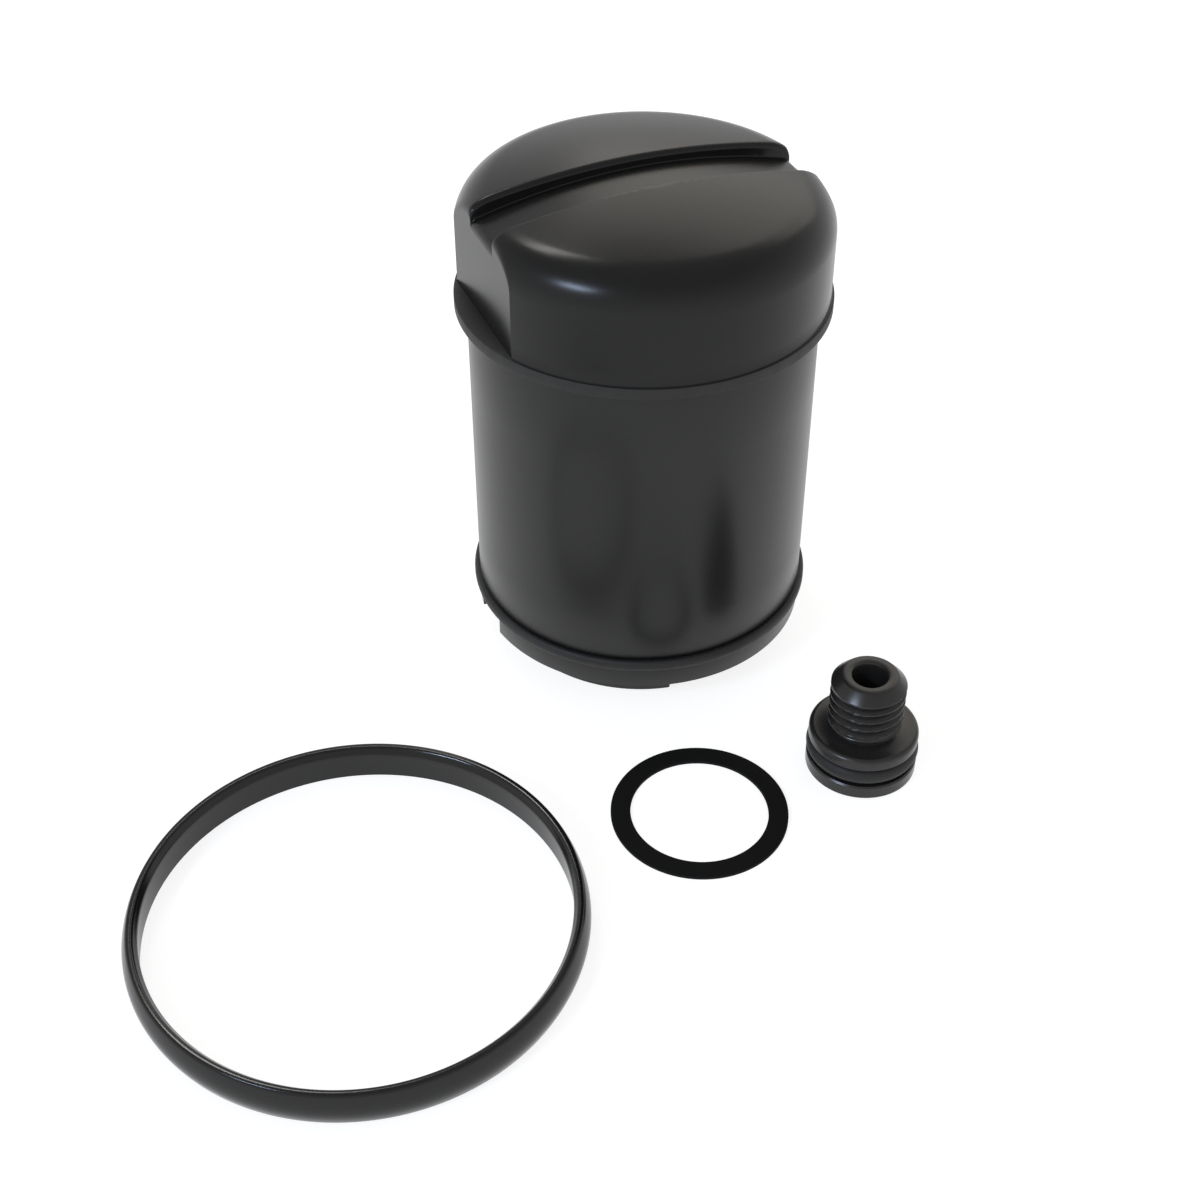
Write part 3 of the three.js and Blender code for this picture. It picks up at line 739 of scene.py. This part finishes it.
# Each point of a fold: its reach from the axis, its place in the fold, and how far it leans.
FOLD = [(32.9, 0, -0.16), (32.9, 0, 0.16), (28.5, 0.5, 0.06), (23.0, 0.5, 0.0),
        (18.75, 1, -0.16), (18.75, 1, 0.16), (23.0, 1.5, 0.0), (28.5, 1.5, -0.06)]
LEAN = 0.55
low, high = span("pleated_media")
bpy.ops.object.select_all(action="DESELECT")
bpy.ops.mesh.primitive_circle_add(
    vertices=PLEATS * FOLD_POINTS, radius=26 * MM, location=can + Vector((0, 0, low * MM)))
paper = bpy.context.object
paper.name = "pleated_paper"
bpy.ops.object.transform_apply(location=True, rotation=True, scale=True)
for vertex in paper.data.vertices:
    turn = math.atan2(vertex.co.y - can.y, vertex.co.x - can.x)
    pleat, step = divmod(round(turn / (2 * math.pi) * PLEATS * FOLD_POINTS), FOLD_POINTS)
    reach, base, lean = FOLD[step]
    # No two pleats stand quite alike.
    wander = 0.006 * math.sin(3.7 * pleat) + 0.004 * math.sin(8.3 * pleat)
    angle = 2 * math.pi * (pleat + base / 2 + lean * LEAN) / PLEATS + wander
    vertex.co.x = can.x + reach * MM * math.cos(angle)
    vertex.co.y = can.y + reach * MM * math.sin(angle)
edit(paper)
bpy.ops.mesh.select_all(action="SELECT")
row_height = (high - low) / PAPER_ROWS * MM
for row in range(PAPER_ROWS):
    bpy.ops.mesh.extrude_region_move(TRANSFORM_OT_translate={"value": (0, 0, row_height)})
bpy.ops.mesh.select_all(action="SELECT")
bpy.ops.mesh.normals_make_consistent(inside=False)
bpy.ops.object.mode_set(mode="OBJECT")
thicken(paper, 0.5)
smooth(paper, 50)

# Filter paper: tan cellulose with fibres one to two millimetres long, and a dry, fuzzy surface.
filter_paper, tree = new_finish("resin_cellulose_paper")
spot = add(tree, "ShaderNodeTexCoord", {})
lay = add(tree, "ShaderNodeMapping", {"Vector": spot.outputs["Object"], "Scale": (1.0, 1.0, 0.35)})
fibres = add(tree, "ShaderNodeTexNoise", {
    "Vector": lay.outputs["Vector"], "Scale": 1500.0, "Detail": 4.0, "Roughness": 0.7})
blotches = add(tree, "ShaderNodeTexNoise", {
    "Vector": spot.outputs["Object"], "Scale": 90.0, "Detail": 2.0})
pale = add(tree, "ShaderNodeMix", {
    "Factor": fibres.outputs["Fac"], "A": linear("#b98f58"), "B": linear("#e2c08c")}, data_type="RGBA")
shade = add(tree, "ShaderNodeMix", {
    "Factor": blotches.outputs["Fac"], "A": pale.outputs["Result"], "B": linear("#c99f66")},
    data_type="RGBA")
bump = add(tree, "ShaderNodeBump", {
    "Height": fibres.outputs["Fac"], "Strength": 0.4, "Distance": 0.05 * MM})
surface = add(tree, "ShaderNodeBsdfPrincipled", {
    "Base Color": shade.outputs["Result"], "Roughness": 0.9, "Normal": bump.outputs["Normal"]})
add(tree, "ShaderNodeOutputMaterial", {"Surface": surface.outputs["BSDF"]})
place(paper, "cartridge", filter_paper, "filter_paper", "pleated_media")

# ---------------------------------------------------------------------------
# Media clip.
# A folded strip of thin steel that pinches the two ends of the paper together.
# ---------------------------------------------------------------------------
CLIP_REACH = 32.9
CLIP_DEPTH = 2.7
CLIP_WIDTH = 2.8
low, high = span("media_clip")
clip_middle = can + along * CLIP_REACH * MM + Vector((0, 0, (low + high) / 2 * MM))
bpy.ops.object.select_all(action="DESELECT")
bpy.ops.mesh.primitive_cube_add(size=1, location=clip_middle, rotation=(0, 0, math.radians(TURN)))
clip = bpy.context.object
clip.name = "paper_clip"
clip.scale = (CLIP_DEPTH * MM, CLIP_WIDTH * MM, (high - low) * MM)
bpy.ops.object.transform_apply(location=True, rotation=True, scale=True)
edit(clip)
pick_faces(clip, lambda point, normal: normal.dot(along) < -0.9 or abs(normal.z) > 0.9)
bpy.ops.mesh.delete(type="FACE")
bpy.ops.mesh.select_all(action="SELECT")
bpy.ops.mesh.subdivide(number_cuts=3)
bpy.ops.object.mode_set(mode="OBJECT")
thicken(clip, 0.4)
round_edges(clip, 0.15, 2)
smooth(clip)
place(clip, "cartridge", zinc, "zinc_steel", "media_clip")

# ---------------------------------------------------------------------------
# Centre tube.
# Thin zinc-plated steel rolled into a tube, punched with rows of round holes.
# It keeps the paper from folding inwards.
# ---------------------------------------------------------------------------
TUBE_WALL = (16.6, 17.4)
WALL_MIDDLE = 17
PUNCH_ROWS = 9
PUNCHES_PER_ROW = 12
PUNCH_RADIUS = 1.2
low, high = span("center_tube")
inner_tube = turned("punched_tube", can, [
    (TUBE_WALL[0], low), (TUBE_WALL[1], low), (TUBE_WALL[1], high), (TUBE_WALL[0], high),
], steps=120)
punches = []
for row in range(PUNCH_ROWS):
    height = low + (high - low) * (row + 1) / (PUNCH_ROWS + 1)
    for i in range(PUNCHES_PER_ROW):
        turn = 2 * math.pi * (i + (row % 2) / 2) / PUNCHES_PER_ROW
        middle = can + Vector((
            WALL_MIDDLE * MM * math.cos(turn), WALL_MIDDLE * MM * math.sin(turn), height * MM))
        punches.append((middle, (0, math.pi / 2, turn)))
cut_out(inner_tube, drills("tube_punches", punches, PUNCH_RADIUS, 5, 16))
smooth(inner_tube)
place(inner_tube, "cartridge", zinc, "zinc_steel", "center_tube")

# ---------------------------------------------------------------------------
# Element seal.
# A moulded nitrile grommet in the cartridge's lower end, that slides over the base plate's boss.
# ---------------------------------------------------------------------------
grommet = turned("boss_grommet", can, [
    (12.8, 16.9), (18.5, 16.9), (18.5, 17.7), (16, 17.7), (16, 19.2), (13.4, 19.2), (12.8, 18.7),
], steps=128)
round_edges(grommet, 0.25, 3)
smooth(grommet, 60)
place(grommet, "cartridge", rubber, "black_rubber", "element_seal")

# ---------------------------------------------------------------------------
# Cartridge end caps.
# Two pressed steel dishes, glued over the ends of the paper. Each has a rolled rim
# and a pressed ring that stiffens it.
# ---------------------------------------------------------------------------
low, high = span("bottom_end_cap")
lower_dish = turned("lower_dish", can, [
    (16.3, low), (22, low), (22.6, low + 0.4), (25.4, low + 0.4), (26, low), (34.6, low),
    (35.3, low + 0.3), (35.6, low + 1.0), (35.6, high - 0.2), (35.3, high), (34.8, high - 0.2),
    (34.8, low + 1.2), (16.3, low + 1.2),
], steps=160)
round_edges(lower_dish, 0.15, 2)
smooth(lower_dish)
place(lower_dish, "cartridge", zinc, "zinc_steel", "bottom_end_cap")

low, high = span("top_end_cap")
upper_dish = turned("upper_dish", can, [
    (9, high - 1.4), (34.8, high - 1.4), (34.8, low + 0.2), (35.3, low), (35.6, low + 0.2),
    (35.6, high - 1.0), (35.3, high - 0.3), (34.6, high), (31, high), (30.4, high - 0.5),
    (27.6, high - 0.5), (27, high), (9, high),
], steps=160)
round_edges(upper_dish, 0.15, 2)
smooth(upper_dish)
place(upper_dish, "cartridge", zinc, "zinc_steel", "top_end_cap")

# ---------------------------------------------------------------------------
# Bypass valve: seat and poppet.
# Both are moulded in glass-filled nylon. The poppet closes the seat from below,
# and opens downwards when the paper is blocked.
# ---------------------------------------------------------------------------
seat = turned("valve_seat", can, [
    (5.5, 86.9), (8.7, 86.9), (8.7, 89.7), (13, 89.7), (13, 90.9), (9.8, 90.9), (9.4, 90.5),
    (7.0, 90.5), (5.5, 89.4),
], steps=96)
round_edges(seat, 0.2, 2)
smooth(seat)

# Glass-filled nylon: dark grey-brown, with a faint mottled skin
# where the fibres lie near the surface.
nylon, tree = new_finish("glass_filled_nylon")
spot = add(tree, "ShaderNodeTexCoord", {})
mottle = add(tree, "ShaderNodeTexNoise", {
    "Vector": spot.outputs["Object"], "Scale": 900.0, "Detail": 4.0})
shade = add(tree, "ShaderNodeMix", {
    "Factor": mottle.outputs["Fac"], "A": linear("#2a2b27"), "B": linear("#3d3e38")}, data_type="RGBA")
gloss = add(tree, "ShaderNodeMapRange", {
    "Value": mottle.outputs["Fac"], "To Min": 0.42, "To Max": 0.6})
bump = add(tree, "ShaderNodeBump", {
    "Height": mottle.outputs["Fac"], "Strength": 0.2, "Distance": 0.02 * MM})
surface = add(tree, "ShaderNodeBsdfPrincipled", {
    "Base Color": shade.outputs["Result"], "Roughness": gloss.outputs["Result"],
    "Normal": bump.outputs["Normal"], "IOR": 1.53})
add(tree, "ShaderNodeOutputMaterial", {"Surface": surface.outputs["BSDF"]})
place(seat, "cartridge", nylon, "nylon", "bypass_seat")

poppet = turned("valve_poppet", can, [
    (0, 71), (1.4, 71), (1.8, 71.4), (1.8, 84.6), (2.4, 85.2), (8, 85.2), (8, 86.0), (7.4, 86.6),
    (6.4, 86.6), (5.9, 86.3), (0, 86.3),
], steps=96, closed=False)
round_edges(poppet, 0.15, 2)
smooth(poppet)
place(poppet, "poppet", nylon, "nylon", "bypass_poppet")

# ---------------------------------------------------------------------------
# Bypass valve: cage.
# A pressed steel cup with four windows, spot-welded under the upper end cap.
# It holds the spring and guides the poppet's stem.
# ---------------------------------------------------------------------------
cage = turned("valve_cage", can, [
    (2.3, 71.5), (10.4, 71.5), (11.2, 72.3), (11.2, 86.2), (11.6, 86.6), (16.2, 86.6), (16.2, 87.7),
    (10.7, 87.7), (10.2, 87.2), (10.2, 73.2), (9.5, 72.5), (2.3, 72.5),
], steps=96)
WINDOW = (40, 9, 9.4)
WINDOW_MIDDLE = 79.5
for turn in (TURN, TURN + 90):
    bpy.ops.object.select_all(action="DESELECT")
    bpy.ops.mesh.primitive_cube_add(
        size=1, location=can + Vector((0, 0, WINDOW_MIDDLE * MM)),
        rotation=(0, 0, math.radians(turn)))
    window = bpy.context.object
    window.scale = [side * MM for side in WINDOW]
    bpy.ops.object.transform_apply(location=True, rotation=True, scale=True)
    round_edges(window, 1.5, 4)
    cut_out(cage, window)
smooth(cage)
place(cage, "cartridge", zinc, "zinc_steel", "bypass_cage")


# ---------------------------------------------------------------------------
# Springs.
# Both are cold-wound from hard drawn steel wire, with closed ends ground flat.
# The large one presses the cartridge down on its boss, and the small one closes the bypass.
# ---------------------------------------------------------------------------
STEPS_PER_TURN = 40
CLOSED_PITCH = 2.15


def wound(name, axis, radius, wire, turns, bottom, top):
    """A compression spring: a wire wound on a helix whose pitch closes up at both ends."""
    count = turns * STEPS_PER_TURN
    line = bpy.data.curves.new(name, "CURVE")
    line.dimensions = "3D"
    line.bevel_depth = wire * MM
    line.bevel_resolution = 3
    line.use_fill_caps = True
    path = line.splines.new("POLY")
    path.points.add(count)
    closed = wire * CLOSED_PITCH
    free = (top - bottom - 2 * closed) / (turns - 2)
    for i in range(count + 1):
        turn = turns * i / count
        if turn <= 1:
            height = bottom + closed * turn
        elif turn >= turns - 1:
            height = top - closed * (turns - turn)
        else:
            height = bottom + closed + free * (turn - 1)
        angle = 2 * math.pi * turn
        path.points[i].co = (axis.x + radius * MM * math.cos(angle),
                             axis.y + radius * MM * math.sin(angle), height * MM, 1)
    spring = bpy.data.objects.new(name, line)
    bpy.context.collection.objects.link(spring)
    pick(spring)
    bpy.ops.object.convert(target="MESH")
    spring = bpy.context.object
    edit(spring)
    bpy.ops.mesh.select_all(action="SELECT")
    bpy.ops.mesh.remove_doubles(threshold=0.002 * MM)
    bpy.ops.mesh.normals_make_consistent(inside=False)
    bpy.ops.object.mode_set(mode="OBJECT")
    smooth(spring, 50)
    return spring


# Drawn spring wire: bright grey steel with fine drawing lines and a thin film of oil.
spring_wire, tree = new_finish("drawn_spring_wire")
spot = add(tree, "ShaderNodeTexCoord", {})
lines = add(tree, "ShaderNodeTexNoise", {
    "Vector": spot.outputs["Object"], "Scale": 1200.0, "Detail": 3.0})
shade = add(tree, "ShaderNodeMix", {
    "Factor": lines.outputs["Fac"], "A": linear("#6f6f6d"), "B": linear("#9a9a97")}, data_type="RGBA")
gloss = add(tree, "ShaderNodeMapRange", {
    "Value": lines.outputs["Fac"], "To Min": 0.2, "To Max": 0.34})
bump = add(tree, "ShaderNodeBump", {
    "Height": lines.outputs["Fac"], "Strength": 0.1, "Distance": 0.01 * MM})
surface = add(tree, "ShaderNodeBsdfPrincipled", {
    "Base Color": shade.outputs["Result"], "Roughness": gloss.outputs["Result"],
    "Normal": bump.outputs["Normal"], "Metallic": 1.0})
add(tree, "ShaderNodeOutputMaterial", {"Surface": surface.outputs["BSDF"]})

# Each spring's coil radius, wire radius and number of turns.
HOLD_DOWN_COIL = (11.2, 1.0, 6)
BYPASS_COIL = (6.0, 0.5, 7)
low, high = span("hold_down_spring")
hold_down = wound(
    "hold_down_coil", can, *HOLD_DOWN_COIL, low + HOLD_DOWN_COIL[1], high - HOLD_DOWN_COIL[1])
hold_down.data.materials.append(spring_wire)
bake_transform(hold_down)
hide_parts("hold_down_spring")

low, high = span("bypass_spring")
bypass_spring = wound(
    "valve_coil", can, *BYPASS_COIL, low + BYPASS_COIL[1], high - BYPASS_COIL[1])
bypass_spring.data.materials.append(spring_wire)
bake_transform(bypass_spring)
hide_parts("bypass_spring")

# ---------------------------------------------------------------------------
# Spring seat.
# A pressed steel washer under the cap's crown. Its thicker middle centres the spring.
# ---------------------------------------------------------------------------
low, high = span("spring_seat")
pad = turned("spring_pad", can, [
    (6, low), (9.4, low), (9.8, low + 0.2), (12.6, low + 0.2), (13, low + 0.4), (13, high), (6, high),
], steps=96)
round_edges(pad, 0.15, 2)
smooth(pad)
place(pad, "cap_seal", zinc, "zinc_steel", "spring_seat")

# ---------------------------------------------------------------------------
# Threaded nipple.
# A hollow stud turned from steel bar: an M18 x 2.5 thread over two flanges with a seal groove.
# It is blackened in a hot oxide bath and oiled.
# ---------------------------------------------------------------------------
stud = middle_of("threaded_nipple")
STUD_BORE = 4.15
STUD_THREAD = 9.0
STUD_PITCH = 2.5
STUD_THREAD_DEPTH = 1.45
nipple = turned("hollow_stud", stud, (
    [(STUD_BORE, 0.5), (4.6, 0), (12.9, 0), (13.35, 0.45), (13.35, 3.4), (13.0, 3.8), (8.9, 3.8),
     (8.9, 9.0), (12.85, 9.0), (13.2, 9.3)]
    + arc(12.0, 11.0, 1.2, 0, 90, 6)
    + [(8.0, 12.2), (7.5, 12.6), (7.5, 13.8)]
    + levels(STUD_THREAD, 14.5, 25.6, 100)
    + [(STUD_THREAD, 25.7), (6.95, 27.95), (6.75, 28.1), (4.9, 28.1), (4.4, 27.9), (STUD_BORE, 27.4)]
), steps=160)
cut_thread(nipple, stud, STUD_THREAD, 14.5, 25.65, STUD_PITCH, STUD_THREAD_DEPTH)
smooth(nipple, 40)

# Black oxide on turned steel: a thin dark satin film that shows the fine turning marks under it.
black_oxide, tree = new_finish("black_oxide_steel")
spot = add(tree, "ShaderNodeTexCoord", {})
clouds = add(tree, "ShaderNodeTexNoise", {
    "Vector": spot.outputs["Object"], "Scale": 220.0, "Detail": 4.0})
fine = add(tree, "ShaderNodeTexNoise", {
    "Vector": spot.outputs["Object"], "Scale": 1800.0, "Detail": 2.0})
shade = add(tree, "ShaderNodeMix", {
    "Factor": clouds.outputs["Fac"], "A": linear("#302f2e"), "B": linear("#393837")}, data_type="RGBA")
gloss = add(tree, "ShaderNodeMapRange", {
    "Value": clouds.outputs["Fac"], "To Min": 0.24, "To Max": 0.31})
bump = add(tree, "ShaderNodeBump", {
    "Height": fine.outputs["Fac"], "Strength": 0.12, "Distance": 0.01 * MM})
surface = add(tree, "ShaderNodeBsdfPrincipled", {
    "Base Color": shade.outputs["Result"], "Roughness": gloss.outputs["Result"],
    "Normal": bump.outputs["Normal"], "Metallic": 0.6})
add(tree, "ShaderNodeOutputMaterial", {"Surface": surface.outputs["BSDF"]})
place(nipple, "nipple", black_oxide, "dark_steel", "threaded_nipple")

# ---------------------------------------------------------------------------
# Nipple O-ring.
# A nitrile ring that fills the groove between the nipple's two flanges.
# ---------------------------------------------------------------------------
nipple_seal = turned("stud_cord_ring", stud, arc(11.45, 6.4, 2.1, 0, 345, 23), steps=160)
smooth(nipple_seal, 60)
place(nipple_seal, "nipple", rubber, "black_rubber", "nipple_o_ring")

# ---------------------------------------------------------------------------
# Sealing washer.
# A flat ring die-cut from fibre-filled rubber sheet, 0.9 mm thick.
# ---------------------------------------------------------------------------
washer_axis = middle_of("sealing_washer")
WASHER_RADII = (16.4, 18.7, 21.1)
WASHER_THICKNESS = 0.9
washer = turned("flat_washer", washer_axis, (
    [(radius, 0) for radius in WASHER_RADII]
    + [(radius, WASHER_THICKNESS) for radius in reversed(WASHER_RADII)]
), steps=160)
round_edges(washer, 0.1, 2)
smooth(washer)

# Fibre-filled rubber sheet: flat, dull black, with a fine pressed grain.
sheet_rubber, tree = new_finish("fibre_filled_rubber_sheet")
spot = add(tree, "ShaderNodeTexCoord", {})
grain = add(tree, "ShaderNodeTexNoise", {
    "Vector": spot.outputs["Object"], "Scale": 1400.0, "Detail": 4.0})
shade = add(tree, "ShaderNodeMix", {
    "Factor": grain.outputs["Fac"], "A": linear("#060606"), "B": linear("#0a0a0a")}, data_type="RGBA")
bump = add(tree, "ShaderNodeBump", {
    "Height": grain.outputs["Fac"], "Strength": 0.3, "Distance": 0.03 * MM})
surface = add(tree, "ShaderNodeBsdfPrincipled", {
    "Base Color": shade.outputs["Result"], "Roughness": 0.85, "Normal": bump.outputs["Normal"],
    "Specular IOR Level": 0.2})
add(tree, "ShaderNodeOutputMaterial", {"Surface": surface.outputs["BSDF"]})
place(washer, "washer", sheet_rubber, "washer_rubber", "sealing_washer")

# ---------------------------------------------------------------------------
# Guard ring.
# A band rolled from steel strip with a domed outside, a rounded rim and a shallow step inside.
# It is enamelled to a full gloss.
# ---------------------------------------------------------------------------
hoop = middle_of("guard_ring")
RING_FOOT = 50.35
RING_RIM = 50.1
RING_BULGE = 1.275
RING_WALL_HEIGHT = 8.95
dome = []
for i in range(1, 14):
    rise = i / 14
    dome.append((RING_FOOT + (RING_RIM - RING_FOOT) * rise + RING_BULGE * math.sin(math.pi * rise),
                 RING_WALL_HEIGHT * rise))
guard = turned("domed_hoop", hoop, (
    [(48.2, 0.2), (48.4, 0), (50.15, 0)] + dome
    + [(50.05, RING_WALL_HEIGHT), (49.8, 9.05), (48.95, 9.05), (48.7, 8.95), (48.4, 8.55),
       (48.2, 8.2), (47.85, 7.8), (47.7, 7.55), (47.65, 7.35), (47.65, 6.5), (48.2, 6.15)]
), steps=288)
smooth(guard, 40)

# Gloss enamel on rolled steel: a wetter, blacker coat than the canister's.
gloss_enamel, tree = new_finish("gloss_black_enamel")
spot = add(tree, "ShaderNodeTexCoord", {})
peel = add(tree, "ShaderNodeTexNoise", {
    "Vector": spot.outputs["Object"], "Scale": 400.0, "Detail": 2.0})
clouds = add(tree, "ShaderNodeTexNoise", {
    "Vector": spot.outputs["Object"], "Scale": 60.0, "Detail": 3.0})
shade = add(tree, "ShaderNodeMix", {
    "Factor": clouds.outputs["Fac"], "A": linear("#0b0b0b"), "B": linear("#0f0f0f")}, data_type="RGBA")
gloss = add(tree, "ShaderNodeMapRange", {
    "Value": clouds.outputs["Fac"], "To Min": 0.14, "To Max": 0.19})
bump = add(tree, "ShaderNodeBump", {
    "Height": peel.outputs["Fac"], "Strength": 0.1, "Distance": 0.02 * MM})
surface = add(tree, "ShaderNodeBsdfPrincipled", {
    "Base Color": shade.outputs["Result"], "Roughness": gloss.outputs["Result"],
    "Normal": bump.outputs["Normal"], "IOR": 1.42})
add(tree, "ShaderNodeOutputMaterial", {"Surface": surface.outputs["BSDF"]})
place(guard, "guard", gloss_enamel, "ring_enamel", "guard_ring")
